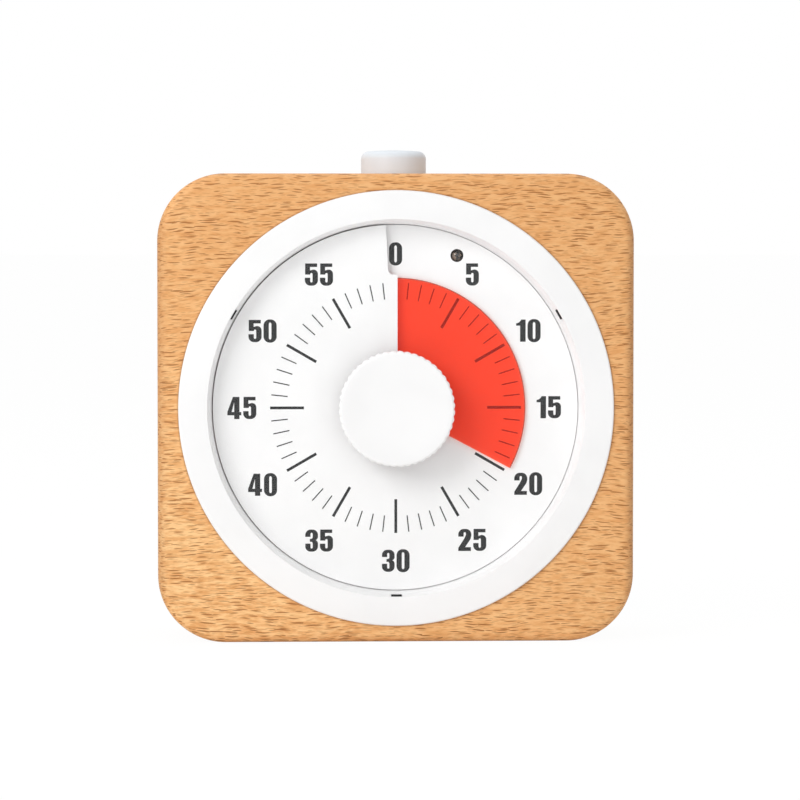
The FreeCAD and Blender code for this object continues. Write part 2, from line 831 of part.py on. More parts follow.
def make_button_spring():
    """The coil spring between the guide and the cap: a round wire in short straight lengths."""
    low = guide_top + spring_wire
    rise = (cap_underside - spring_wire - low) / (spring_turns * spring_sides)
    corners = []
    for step in range(spring_turns * spring_sides + 1):
        turn = 2 * math.pi * step / spring_sides
        across, away = spring_radius * math.cos(turn), spring_radius * math.sin(turn)
        corners.append(Vector(across, away, low + rise * step))
    section = Part.Wire(Part.makeCircle(spring_wire, corners[0], corners[1] - corners[0]))
    sharp_corners = 1
    return Part.makePolygon(corners).makePipeShell([section], True, False, sharp_corners)


def make_button_switch():
    """The switch on the board's back, under the stem."""
    half = tact_width / 2
    top = stem_end - tact_gap - button_travel
    body_top = top - tact_plunger_height
    body = block(-half, half, board_back_y, tact_width / 2, body_top - tact_height, body_top)
    return body.fuse(post(tact_plunger_radius, body_top, top))


# Rear cover, cells and door

cell_reach = cell_length / 2 + cell_side_room
box_corner = barrel_radius - cover_lip_width - box_rim_margin
box_low = case_bore_height + box_wall - math.sqrt(box_corner ** 2 - (cell_reach + box_wall) ** 2)
box_high = box_low + cell_radius * 4 + cell_gap * 3
cell_y = cover_inner_y - cell_gap / 2 - cell_radius
cell_heights = (box_low + cell_gap + cell_radius, box_high - cell_gap - cell_radius)
box_floor_y = cell_y - cell_radius - cell_gap / 2
door_hinge_z = box_low - cover_thickness / 2
door_hinge_y = cover_inner_y + cover_thickness / 2
door_half = cell_reach - door_gap


def make_rear_cover():
    """The round back, its lip, the battery box, sound slots and the volume switch's slot."""
    plate = rod(cover_radius, cover_inner_y, back_y)
    plate = plate.makeFillet(cover_edge_fillet, rim_edges(plate, cover_radius, back_y))
    lip_end = cover_inner_y - cover_lip_length
    lip = tube(barrel_radius, barrel_radius - cover_lip_width, lip_end, cover_inner_y)
    outer = block(-cell_reach - box_wall, cell_reach + box_wall, box_floor_y - box_wall, cover_inner_y,
                  box_low - box_wall, box_high + box_wall)
    cover = plate.fuse(lip).fuse(outer)
    cover = cover.cut(block(-cell_reach, cell_reach, box_floor_y, cover_inner_y, box_low, box_high))
    # The door's opening, with a round trough for its hinge edge.
    cover = cover.cut(block(-cell_reach, cell_reach, cover_inner_y, back_y, door_hinge_z, box_high))
    trough = Part.makeCylinder(cover_thickness / 2 + door_gap, cell_reach * 2,
                               Vector(-cell_reach, door_hinge_y, door_hinge_z), Vector(1, 0, 0))
    cover = cover.cut(trough)
    swing_low = door_hinge_z - cover_thickness / 2 - door_gap
    cover = cover.cut(block(-cell_reach, cell_reach, door_hinge_y, back_y, swing_low, door_hinge_z))
    pin_reach = cell_reach - door_gap + door_pin_length + running_clearance
    pins = Part.makeCylinder(door_pin_radius + running_clearance, pin_reach * 2,
                             Vector(-pin_reach, door_hinge_y, door_hinge_z), Vector(1, 0, 0))
    cover = cover.cut(pins)
    # The latch's finger notch above the door.
    notch = block(-door_latch_width / 2 - door_gap, door_latch_width / 2 + door_gap, cover_inner_y, back_y,
                  box_high, box_high + door_latch_height + door_gap)
    cover = cover.cut(notch)
    x0, z0 = buzzer_place[0], case_bore_height + buzzer_place[1]
    for slot in range(slot_count):
        x = x0 + (slot - (slot_count - 1) / 2) * slot_pitch
        cover = cover.cut(block(x - slot_width / 2, x + slot_width / 2, cover_inner_y, back_y,
                                z0 - slot_length / 2, z0 + slot_length / 2))
    x0, z0 = volume_place[0], case_bore_height + volume_place[1]
    half = volume_nub_width / 2 + volume_travel + volume_slot_clearance
    tall = volume_nub_height / 2 + volume_slot_clearance
    cover = cover.cut(block(x0 - half, x0 + half, cover_inner_y, back_y, z0 - tall, z0 + tall))
    for angle in boss_angles:
        x, z = polar(boss_circle_radius, angle)
        sink = screw_head_radius + screw_sink_clearance
        cover = cover.cut(rod(sink, back_y - screw_head_height, back_y, x, z))
        cover = cover.cut(rod(screw_shank_radius, cover_inner_y, back_y, x, z))
    return cover.removeSplitter()


def make_cover_screws():
    """Four screws from the back into the bosses, heads sunk in the cover."""
    head_y = back_y - screw_head_height
    length = cover_screw_length - screw_tip_gap
    return [screw(*polar(boss_circle_radius, angle), head_y, length) for angle in boss_angles]


def make_battery_door():
    """A flat door with a round lower edge on two pins, a latch tab on top and grip ridges."""
    top = box_high - door_gap
    door = block(-door_half, door_half, cover_inner_y, back_y, door_hinge_z, top)
    edge = Part.makeCylinder(cover_thickness / 2, door_half * 2,
                             Vector(-door_half, door_hinge_y, door_hinge_z), Vector(1, 0, 0))
    pin_reach = door_half + door_pin_length
    pins = Part.makeCylinder(door_pin_radius, pin_reach * 2,
                             Vector(-pin_reach, door_hinge_y, door_hinge_z), Vector(1, 0, 0))
    half = door_latch_width / 2
    latch = block(-half, half, cover_inner_y, back_y, top, box_high + door_latch_height)
    door = door.fuse(edge).fuse(pins).fuse(latch)
    for ridge in range(door_grip_count):
        z = top - door_grip_inset - ridge * door_grip_pitch
        door = door.cut(block(-half, half, back_y - door_grip_depth, back_y,
                              z - door_grip_width / 2, z + door_grip_width / 2))
    return door.removeSplitter()


def make_cells():
    """Two AAA cells, turned opposite ways."""
    cells = []
    for side, z in zip((1, -1), cell_heights):
        start = Vector(-side * cell_length / 2, cell_y, z)
        way = Vector(side, 0, 0)
        body = Part.makeCylinder(cell_radius, cell_length - cell_tip, start, way)
        tip_at = Vector(side * (cell_length / 2 - cell_tip), cell_y, z)
        cells.append(body.fuse(Part.makeCylinder(cell_tip_radius, cell_tip, tip_at, way)))
    return cells


def make_cell_springs():
    """Conical springs at the flat ends, as ringed cones."""
    springs = []
    room = cell_side_room - contact_thickness
    for side, z in zip((1, -1), cell_heights):
        step = room / cell_spring_rings
        outline = [Vector(0, 0, 0)]
        for ring in range(cell_spring_rings):
            radius = cell_spring_radius - ring * cell_spring_step
            outline += [Vector(ring * step, radius, 0), Vector((ring + 0.7) * step, radius, 0),
                        Vector((ring + 1) * step, radius - cell_spring_step, 0)]
        outline.append(Vector(room, 0, 0))
        profile = Part.Face(Part.makePolygon(outline + outline[:1]))
        cone = profile.revolve(Vector(0, 0, 0), Vector(1, 0, 0), 360)
        if side < 0:
            cone.rotate(Vector(0, 0, 0), Vector(0, 0, 1), 180)
        cone.translate(Vector(-side * (cell_length / 2 + room), cell_y, z))
        springs.append(cone)
    return springs


def make_cell_contacts():
    """Flat plates on the box's end walls."""
    plates = []
    for side in (1, -1):
        x_from = side * cell_reach - (contact_thickness if side > 0 else 0)
        for z in cell_heights:
            plates.append(block(x_from, x_from + contact_thickness,
                                cell_y - contact_width / 2, cell_y + contact_width / 2,
                                z - contact_height / 2, z + contact_height / 2))
    return plates


# Volume switch

def make_volume_switch():
    """The switch's body behind its slot, open where the slider runs."""
    x, z = volume_place[0], case_bore_height + volume_place[1]
    body = block(x - volume_body_width / 2, x + volume_body_width / 2, cover_inner_y - volume_body_depth,
                 cover_inner_y, z - volume_body_height / 2, z + volume_body_height / 2)
    half = volume_nub_width / 2 + volume_travel + volume_slot_clearance
    tall = volume_nub_height / 2 + volume_slot_clearance
    return body.cut(block(x - half, x + half, cover_inner_y - volume_well_depth, cover_inner_y,
                          z - tall, z + tall))


def make_volume_slider():
    """The nub that slides between quiet, loud and silent."""
    x, z = volume_place[0], case_bore_height + volume_place[1]
    foot_y = cover_inner_y - volume_well_depth + volume_slot_clearance
    nub = block(x - volume_nub_width / 2, x + volume_nub_width / 2, foot_y, back_y + volume_nub_proud,
                z - volume_nub_height / 2, z + volume_nub_height / 2)
    for groove in (-1, 0, 1):
        middle = x + groove * volume_groove_pitch
        nub = nub.cut(block(middle - volume_groove_width / 2, middle + volume_groove_width / 2,
                            back_y + volume_nub_proud - volume_groove_width, back_y + volume_nub_proud,
                            z - volume_nub_height / 2, z + volume_nub_height / 2))
    return nub


parts = {
    "wood_case": make_wood_case,
    "bezel": make_bezel,
    "lens": make_lens,
    "dial_plate": make_dial_plate,
    "time_disc": make_time_disc,
    "disc_hub": make_disc_hub,
    "spindle": make_spindle,
    "knob": make_knob,
    "spindle_bush": make_spindle_bush,
    "chassis": make_chassis,
    "chassis_screws": make_chassis_screws,
    "gear_back_plate": make_back_plate,
    "gear_pillars": make_pillars,
    "gear_screws": make_gear_screws,
    "spindle_wheel": make_spindle_wheel,
    "clutch_spring": make_clutch_spring,
    "middle_wheel": make_middle_wheel,
    "motor_pinion": make_motor_pinion,
    "motor_shaft": make_motor_shaft,
    "motor": make_motor,
    "circuit_board": make_circuit_board,
    "board_screws": make_board_screws,
    "control_chip": make_chip,
    "indicator_led": make_indicator_led,
    "buzzer": make_buzzer,
    "top_button": make_top_button,
    "button_clip": make_button_clip,
    "button_guide": make_button_guide,
    "button_spring": make_button_spring,
    "button_switch": make_button_switch,
    "rear_cover": make_rear_cover,
    "cover_screws": make_cover_screws,
    "battery_door": make_battery_door,
    "cells": make_cells,
    "cell_springs": make_cell_springs,
    "cell_contacts": make_cell_contacts,
    "volume_switch": make_volume_switch,
    "volume_slider": make_volume_slider,
}

os.makedirs("parts", exist_ok=True)
for name, make in parts.items():
    shape = make()
    if isinstance(shape, list):
        shape = Part.makeCompound(shape)
    shape.exportStep(f"parts/{name}.step")
    print(f"{name}: {len(shape.Solids)} solid, valid {shape.isValid()}, {shape.Volume:.1f} mm3")
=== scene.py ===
import math
import bpy
import bmesh
from mathutils import Matrix, Vector
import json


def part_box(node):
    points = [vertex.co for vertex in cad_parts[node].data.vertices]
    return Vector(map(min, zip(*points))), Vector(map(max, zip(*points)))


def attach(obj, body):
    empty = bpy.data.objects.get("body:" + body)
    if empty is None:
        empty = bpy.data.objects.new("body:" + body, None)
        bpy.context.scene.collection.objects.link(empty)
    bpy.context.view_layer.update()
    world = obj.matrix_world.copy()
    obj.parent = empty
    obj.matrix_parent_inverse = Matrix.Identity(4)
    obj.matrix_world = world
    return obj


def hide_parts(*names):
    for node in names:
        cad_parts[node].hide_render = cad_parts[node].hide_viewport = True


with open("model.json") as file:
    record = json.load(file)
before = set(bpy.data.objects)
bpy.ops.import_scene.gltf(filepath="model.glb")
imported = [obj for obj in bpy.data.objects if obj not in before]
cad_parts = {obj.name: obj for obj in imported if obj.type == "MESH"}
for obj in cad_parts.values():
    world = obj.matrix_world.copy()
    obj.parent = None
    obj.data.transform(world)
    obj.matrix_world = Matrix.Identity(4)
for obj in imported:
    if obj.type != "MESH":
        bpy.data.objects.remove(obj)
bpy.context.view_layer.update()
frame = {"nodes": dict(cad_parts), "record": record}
nodes = frame["nodes"]

MM = 0.001

# Sizes in metres and angles in degrees. Those that the frame holds are read from it.

case_low, case_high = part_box("wood_case")
bezel_low, bezel_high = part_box("bezel")
disc_low, disc_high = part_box("time_disc")
knob_low, knob_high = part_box("knob")
button_low, button_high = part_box("top_button")
lens_low, lens_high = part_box("lens")

front_y = case_low[1]
back_y = case_high[1]
corner_radius = 17.0 * MM
edge_radius = 2.5 * MM
bore_radius = 51.4 * MM
bezel_seat_gap = 0.05 * MM
bezel_seat_depth = 1.2 * MM
cover_seat_radius = 54.3 * MM
cover_seat_depth = 2.0 * MM
button_hole_radius = 8.7 * MM
button_hole_depth = 15 * MM

dial_z = (bezel_low[2] + bezel_high[2]) / 2
bezel_radius = (bezel_high[0] - bezel_low[0]) / 2
mouth_radius = 47.45 * MM
throat_radius = 46.3 * MM
throat_depth = 6.0 * MM
flange_depth = 2.0 * MM
barrel_radius = 51.0 * MM
barrel_length = 12.3 * MM
tab_angles = (60, 180, 300)
tab_half_width = 1.3 * MM
tab_length = 1.2 * MM
tab_gap = 0.15 * MM

pitch = 2.0 * MM
winding_steps = 300
dial_y = front_y + 5.2 * MM
dial_thickness = 0.8 * MM
dial_radius = 46.15 * MM
dial_hole = 9.2 * MM
dial_start = -8.0
lip_offset = 0.4 * MM
lip_radius = 33.6 * MM
lip_round = 1.3 * MM
step_inner = -1.9 * MM
step_outer = -2.6 * MM
step_slope = (step_inner - step_outer) / (dial_radius + MM - lip_radius)
disc_radius = (disc_high[0] - disc_low[0]) / 2
disc_thickness = 0.4 * MM
disc_span = 359.0
hub_radius = 8.2 * MM
set_angle = 118.0

light_radius = 41.4 * MM
light_angle = 22
light_hole_radius = 1.65 * MM
knob_radius = 14.55 * MM
knob_ribs = 48
points_per_rib = 8
rib_depth = 0.3 * MM
screw_circle = 46.4 * MM
print_lift = 0.02 * MM
round_steps = 256
smooth_angle = 35
tiny = 1e-6


def spread(start, end, count):
    """Evenly spaced values, both ends included."""
    return [start + (end - start) * step / count for step in range(count + 1)]


def quarter(count):
    """The angles of a quarter turn in equal steps, in radians."""
    return [math.radians(angle) for angle in spread(0, 90, count)]


def polar(radius, angle):
    """x and z at a clock angle in degrees, clockwise from twelve as the viewer sees it."""
    turn = math.radians(angle)
    return radius * math.sin(turn), dial_z + radius * math.cos(turn)


def dial_front(angle):
    """The y of the dial's front face at a clock angle."""
    return dial_y + pitch / 2 - dial_thickness / 2 - pitch * angle / 360


# Materials

class Wire:
    """A node socket that takes part in sums, so that shader maths reads as an expression."""

    def __init__(self, shop, socket):
        self.shop = shop
        self.socket = socket

    def maths(self, operation, *others):
        return self.shop.node("ShaderNodeMath", [self, *others], operation=operation)

    def __add__(self, other):
        return self.maths("ADD", other)

    def __mul__(self, other):
        return self.maths("MULTIPLY", other)

    def __sub__(self, other):
        return self.maths("SUBTRACT", other)

    def __truediv__(self, other):
        return self.maths("DIVIDE", other)

    def __rsub__(self, other):
        return self.shop.node("ShaderNodeMath", [other, self], operation="SUBTRACT")

    __radd__ = __add__


class Shop:
    """A node tree and the tools that add to it."""

    def __init__(self, tree):
        self.tree = tree

    def put(self, node, sockets):
        """Set a node's inputs, each to a value or to a wire."""
        for key, value in sockets.items():
            name = key if isinstance(key, int) else key.replace("_", " ")
            if isinstance(value, Wire):
                self.tree.links.new(value.socket, node.inputs[name])
            else:
                node.inputs[name].default_value = value

    def node(self, kind, inputs=(), out=0, **settings):
        """Add a node, its settings first and then its inputs, and return one of its outputs."""
        made = self.tree.nodes.new(kind)
        for key, value in settings.items():
            setattr(made, key, value)
        if not isinstance(inputs, dict):
            inputs = dict(enumerate(inputs))
        self.put(made, inputs)
        return Wire(self, made.outputs[out])

    def seen_by(self, *rays):
        """1 for a ray of any of the kinds named, otherwise 0."""
        path = self.tree.nodes.new("ShaderNodeLightPath")
        seen, *others = [Wire(self, path.outputs[ray]) for ray in rays]
        for other in others:
            seen = seen.maths("MAXIMUM", other)
        return seen

    def blend(self, factor, name, second, output="Material Output"):
        """Mix the named shader with a second one, and make the result the surface."""
        first = Wire(self, self.tree.nodes[name].outputs[0])
        mixed = self.node("ShaderNodeMixShader", [factor, first, second])
        self.put(self.tree.nodes[output], {"Surface": mixed})


class Finish(Shop):
    """One material: a Principled shader and the nodes that feed it."""

    def __init__(self, name, **sockets):
        self.material = bpy.data.materials.new(name)
        self.material.use_nodes = True
        super().__init__(self.material.node_tree)
        self.feed(**sockets)
        self.place = self.node("ShaderNodeTexCoord", out="Object")

    def feed(self, **sockets):
        self.put(self.tree.nodes["Principled BSDF"], sockets)

    def stretch(self, scale, at=None):
        """A place with its axes scaled: object coordinates, unless another place is given."""
        return self.node("ShaderNodeMapping", {"Vector": at or self.place, "Scale": scale})

    def vector(self, operation, first, second):
        return self.node("ShaderNodeVectorMath", [first, second], operation=operation)

    def part(self, vector, axis):
        return self.node("ShaderNodeSeparateXYZ", [vector], out=axis)

    def noise(self, scale, detail=3.0, rough=0.5, at=None, out="Fac"):
        inputs = {"Vector": at or self.place, "Scale": scale, "Detail": detail, "Roughness": rough}
        return self.node("ShaderNodeTexNoise", inputs, out=out)

    def mix(self, factor, first, second):
        inputs = {0: factor, 6: first, 7: second}
        return self.node("ShaderNodeMix", inputs, out=2, data_type="RGBA")

    def between(self, value, low, high):
        """Rise smoothly from 0 to 1 as a value goes from low to high."""
        inputs = {"Value": value, "From Min": low, "From Max": high}
        return self.node("ShaderNodeMapRange", inputs, interpolation_type="SMOOTHSTEP")

    def ring(self, start, full):
        """Rise smoothly from 0 to 1 between two distances from the dial's axis."""
        across = self.part(self.place, "X")
        up = self.part(self.place, "Z") - dial_z
        return self.between(across * across + up * up, start ** 2, full ** 2)

    def bump(self, height, distance, strength):
        inputs = {"Height": height, "Distance": distance, "Strength": strength}
        self.feed(Normal=self.node("ShaderNodeBump", inputs))


def linear(value):
    """Linear light from the 0 to 255 value that a screen shows."""
    value /= 255
    return value / 12.92 if value <= 0.04045 else ((value + 0.055) / 1.055) ** 2.4


def rgb(red, green, blue):
    """A colour from screen values."""
    return (linear(red), linear(green), linear(blue), 1.0)


def dimmed(colour, share):
    """A colour with its three parts scaled."""
    return tuple(value * share for value in colour[:3]) + (1.0,)


def beech():
    """Oiled beech with its grain along X: short dark flecks over fine, wavy fibres."""
    wood = Finish("beech", Roughness=0.5, Specular_IOR_Level=0.3)

    def wavy(place, scale, reach):
        """A place with a small smooth shift across the grain."""
        drift = wood.noise(scale, detail=1.0, out="Color")
        centred = wood.vector("SUBTRACT", drift, (0.5, 0.5, 0.5))
        return wood.vector("ADD", place, wood.vector("MULTIPLY", centred, (0.0, reach, reach)))

    bent = wavy(wavy(wood.place, 34.0, 4.2 * MM), 150.0, 1.1 * MM)

    def flecks(cell, half, share):
        """Spindle-shaped flecks in a share of the cells of a stretched pattern.

        cell and half are the sizes of a cell and of half a fleck along X, Y and Z, in millimetres.
        """
        scaled = wood.stretch([1 / (size * MM) for size in cell], bent)
        pattern = {"Vector": scaled, "Scale": 1.0, "Randomness": 1.0}
        centre = wood.node("ShaderNodeTexVoronoi", pattern, out="Position")
        tint = wood.node("ShaderNodeTexVoronoi", pattern, out="Color")
        offset = wood.vector("SUBTRACT", scaled, centre)
        along, aside, up = [wood.part(offset, axis) / (reach / size)
                            for axis, reach, size in zip("XYZ", half, cell)]
        chance = wood.part(tint, "X")
        size = wood.part(tint, "Y")
        reach = along.maths("ABSOLUTE") * (1.5 - size * 0.9)
        rise = up.maths("ABSOLUTE") * (1.4 - size * 0.5)
        body = 1 - (reach * reach * 0.9 + aside * aside * 0.5 + rise)
        present = wood.between(chance, 1 - share - 0.2, 1 - share + 0.2)
        return wood.between(body, 0.0, 0.32) * present

    bold = flecks((3.9, 0.9, 0.88), (1.7, 0.38, 0.2), 0.84)
    fine = flecks((2.3, 0.6, 0.5), (1.0, 0.26, 0.14), 0.8)
    fibres = wood.noise(1.0, rough=0.6, at=wood.stretch((230.0, 700.0, 1150.0), bent))
    bands = wood.noise(1.0, detail=2.0, at=wood.stretch((7.0, 60.0, 80.0), bent))
    cloud = wood.noise(16.0, detail=2.0)
    right = wood.part(wood.place, "X")
    # Painted shade: the face darkens towards the top and the right and stays lighter at the lower
    # left, as the light falls.
    painted_shade_slope = wood.between(right * 0.6 + wood.part(wood.place, "Z"), -0.02, 0.14)
    base = wood.mix(wood.between(bands, 0.3, 0.7), rgb(236, 171, 106), rgb(243, 184, 120))
    base = wood.mix(wood.between(fibres, 0.3, 0.7), base, rgb(255, 208, 148))
    base = wood.mix(wood.between(fibres, 0.58, 0.3) * 0.28, base, rgb(208, 144, 82))
    base = wood.mix(wood.between(cloud, 0.35, 0.7) * 0.3, base, rgb(230, 163, 100))
    base = wood.mix(painted_shade_slope * 0.5, base, rgb(221, 156, 96))
    shaded = wood.mix(fine * 0.55, base, rgb(190, 128, 68))
    shaded = wood.mix(bold * 0.88, shaded, rgb(164, 104, 50))
    # End grain takes more oil, so the side edges are darker; the darkening there is also painted
    # shade for the rounded side edges.
    ends = wood.between(right.maths("ABSOLUTE"), 57.0 * MM, 60.0 * MM)
    # Painted shade: a dark ring on the wood all round the bezel stands in for the bezel's shadow
    # on it.
    rim = wood.ring(bezel_radius + 0.6 * MM, bezel_radius + 0.05 * MM)
    final = wood.mix(ends * 0.4 + rim * 0.4, shaded, rgb(158, 106, 66))
    wood.feed(Base_Color=final, Roughness=0.42 + fibres * 0.16)
    wood.bump(fibres * 0.5 - bold * 0.9 - fine * 0.4, 0.12 * MM, 0.5)
    return wood.material


def moulded(name, colour, roughness, grain=0.03 * MM, **sockets):
    """Moulded plastic: an even colour with a faint cloud, and a fine spark-eroded grain."""
    plastic = Finish(name, Specular_IOR_Level=0.4, **sockets)
    cloud = plastic.between(plastic.noise(60.0, detail=2.0), 0.3, 0.7)
    speckle = plastic.noise(2600.0, detail=2.0)
    plastic.feed(Base_Color=plastic.mix(cloud, dimmed(colour, 0.965), colour))
    plastic.feed(Roughness=roughness - 0.05 + speckle * 0.1)
    plastic.bump(speckle, grain, 0.35)
    return plastic.material


def red_sheet():
    """Clear red sheet: it tints what lies behind it, has a painted glow that brightens its red,
    and painted shade in a ring at its cut edge.
    """
    # The emission is a painted glow that brightens the red; the sheet is no lamp.
    sheet = Finish("red_sheet", Roughness=0.28, Specular_IOR_Level=0.25, Emission_Strength=0.75)
    cloud = sheet.noise(32.0, detail=1.0)
    # Painted shade: a darker, less clear ring at the sheet's cut edge.
    rim = sheet.ring(disc_radius - 0.35 * MM, disc_radius - 0.1 * MM)
    face = sheet.mix(sheet.between(cloud, 0.35, 0.65), rgb(248, 56, 34), rgb(255, 64, 40))
    sheet.feed(Base_Color=sheet.mix(rim, face, rgb(150, 88, 72)))
    # Painted glow, left off at the cut edge.
    sheet.feed(Emission_Color=sheet.mix(rim, (1.0, 0.03, 0.01, 1.0), (0.0, 0.0, 0.0, 1.0)))
    tinted = sheet.node("ShaderNodeBsdfTransparent", {"Color": (1.0, 0.545, 0.42, 1.0)})
    clear = (0.885 + cloud * 0.03) * (1 - rim * 0.6)
    sheet.blend(clear, "Principled BSDF", tinted)
    return sheet.material


def clear_lens():
    """Clear polished plastic."""
    clear = Finish("clear_lens", Base_Color=rgb(250, 252, 252), Roughness=0.04, Alpha=0.012)
    return clear.material


def ink():
    """Printed dark grey ink."""
    printed = Finish("dial_ink", Roughness=0.55, Specular_IOR_Level=0.25)
    speckle = printed.noise(3500.0, detail=1.0)
    printed.feed(Base_Color=printed.mix(speckle, rgb(34, 35, 36), rgb(46, 47, 48)))
    return printed.material


def metal(name, colour, roughness):
    """Turned or plated metal with fine marks."""
    plated = Finish(name, Metallic=1.0)
    marks = plated.noise(900.0, at=plated.stretch((1.0, 1.0, 9.0)))
    worn = plated.mix(marks, dimmed(colour, 0.8), colour)
    plated.feed(Base_Color=worn, Roughness=roughness + marks * 0.12)
    return plated.material


def smoky_lens():
    """The light's smoky body, dark until it is lit."""
    smoke = Finish("smoky_light", Roughness=0.12, Coat_Weight=0.6)
    cloud = smoke.noise(900.0, detail=2.0)
    glint = smoke.between(smoke.noise(1300.0, detail=1.0), 0.5, 0.6)
    dark = smoke.mix(cloud, rgb(18, 17, 17), rgb(44, 41, 39))
    smoke.feed(Base_Color=smoke.mix(glint * 0.7, dark, rgb(150, 128, 112)))
    return smoke.material


finishes = {
    "beech": beech(),
    "white_plastic": moulded("white_plastic", rgb(250, 250, 250), 0.38),
    "button_plastic": moulded("button_plastic", rgb(227, 233, 239), 0.45),
    "dial_white": moulded("dial_white", rgb(252, 252, 252), 0.5, grain=0.01 * MM),
    "red_plastic": red_sheet(),
    "clear_plastic": clear_lens(),
    "gear_plastic": moulded("gear_plastic", rgb(236, 234, 226), 0.4),
    "grey_plastic": moulded("grey_plastic", rgb(176, 178, 180), 0.5),
    "black_plastic": moulded("black_plastic", rgb(38, 38, 40), 0.45),
    "board_green": moulded("board_green", rgb(36, 110, 66), 0.35),
    "led_clear": smoky_lens(),
    "cell_sleeve": moulded("cell_sleeve", rgb(70, 74, 80), 0.3, Coat_Weight=0.5),
    "brass": metal("brass", rgb(214, 180, 108), 0.25),
    "steel": metal("steel", rgb(196, 197, 200), 0.28),
    "ink": ink(),
}


# Tools for modelling

def start_clean():
    """Leave edit mode and select nothing."""
    if bpy.context.object and bpy.context.object.mode != "OBJECT":
        bpy.ops.object.mode_set(mode="OBJECT")
    bpy.ops.object.select_all(action="DESELECT")


def make_active(piece):
    start_clean()
    piece.select_set(True)
    bpy.context.view_layer.objects.active = piece


def new_piece(name, verts, edges=(), faces=()):
    """A piece made from a few points."""
    mesh = bpy.data.meshes.new(name)
    mesh.from_pydata(verts, edges, faces)
    piece = bpy.data.objects.new(name, mesh)
    bpy.context.collection.objects.link(piece)
    make_active(piece)
    return piece


def edit(piece, mode):
    make_active(piece)
    bpy.ops.object.mode_set(mode="EDIT")
    bpy.ops.mesh.select_mode(type=mode)


def round_edges(piece, test, radius, segments):
    """In edit mode, round the edges whose two ends pass a test."""
    bpy.ops.mesh.select_mode(type="EDGE")
    bpy.ops.mesh.select_all(action="DESELECT")
    shape = bmesh.from_edit_mesh(piece.data)
    for edge in shape.edges:
        edge.select_set(bool(test(edge.verts[0].co, edge.verts[1].co)))
    bmesh.update_edit_mesh(piece.data)
    bpy.ops.mesh.bevel(offset=radius, offset_type="OFFSET", segments=segments, profile=0.5)


def face_outward(piece):
    """Make all the faces look outward."""
    edit(piece, "FACE")
    bpy.ops.mesh.select_all(action="SELECT")
    bpy.ops.mesh.normals_make_consistent(inside=False)
    bpy.ops.object.mode_set(mode="OBJECT")


def modify(piece, kind, **settings):
    """Add a modifier and apply it."""
    make_active(piece)
    bpy.ops.object.modifier_add(type=kind)
    added = piece.modifiers[-1]
    for key, value in settings.items():
        setattr(added, key, value)
    bpy.ops.object.modifier_apply(modifier=added.name)


def cut(piece, tool):
    """Cut a tool's shape out of a piece, and drop the tool."""
    modify(piece, "BOOLEAN", operation="DIFFERENCE", object=tool, solver="EXACT")
    bpy.data.objects.remove(tool)


def join(name, pieces):
    """Join pieces into one."""
    start_clean()
    for piece in pieces:
        piece.select_set(True)
    bpy.context.view_layer.objects.active = pieces[0]
    bpy.ops.object.join()
    pieces[0].name = name
    return pieces[0]


def settle(piece):
    """Put a piece's place into its mesh."""
    make_active(piece)
    bpy.ops.object.transform_apply(location=True, rotation=True, scale=True)


def turn_to(piece, angle, x=0.0, z=dial_z):
    """Turn a mesh about the Y axis, clockwise as the viewer sees it, then move it to x and z."""
    piece.data.transform(Matrix.Rotation(math.radians(angle), 4, "Y"))
    piece.data.transform(Matrix.Translation((x, 0, z)))


def spin(name, points, steps, axis, closed):
    """Spin a row of points once round an axis through the origin."""
    count = len(points)
    edges = [(i, (i + 1) % count) for i in range(count if closed else count - 1)]
    piece = new_piece(name, points, edges)
    edit(piece, "VERT")
    bpy.ops.mesh.select_all(action="SELECT")
    bpy.ops.mesh.spin(steps=steps, angle=2 * math.pi, center=(0, 0, 0), axis=axis,
                      use_auto_merge=True)
    bpy.ops.mesh.select_all(action="SELECT")
    bpy.ops.mesh.remove_doubles(threshold=tiny)
    bpy.ops.mesh.normals_make_consistent(inside=False)
    bpy.ops.object.mode_set(mode="OBJECT")
    return piece


def lathe(name, outline, steps=round_steps, closed=True, x=0.0, z=dial_z):
    """Spin an outline of (radius, y) points round an axis along Y."""
    piece = spin(name, [(radius, y, 0) for radius, y in outline], steps, (0, 1, 0), closed)
    piece.location = (x, 0, z)
    settle(piece)
    return piece


def drum(radius, y_from, y_to, x=0.0, z=dial_z, verts=round_steps):
    """A plain cylinder along Y, used for cutting."""
    start_clean()
    bpy.ops.mesh.primitive_cylinder_add(
        vertices=verts, radius=radius, depth=y_to - y_from,
        location=(x, (y_from + y_to) / 2, z), rotation=(math.pi / 2, 0, 0))
    tool = bpy.context.object
    settle(tool)
    return tool


def brick(x_from, x_to, y_from, y_to, z_from, z_to):
    """A plain block between two corners."""
    start_clean()
    bpy.ops.mesh.primitive_cube_add(
        size=1, location=((x_from + x_to) / 2, (y_from + y_to) / 2, (z_from + z_to) / 2),
        scale=(x_to - x_from, y_to - y_from, z_to - z_from))
    tool = bpy.context.object
    settle(tool)
    return tool


def dress(piece, finish, body, replaces=()):
    """Give a piece its finish, its body and the nodes that it stands for."""
    make_active(piece)
    bpy.ops.object.shade_smooth_by_angle(angle=math.radians(smooth_angle))
    piece.data.materials.clear()
    piece.data.materials.append(finishes[finish])
    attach(piece, body)
    if replaces:
        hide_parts(*replaces)


# The case and the bezel

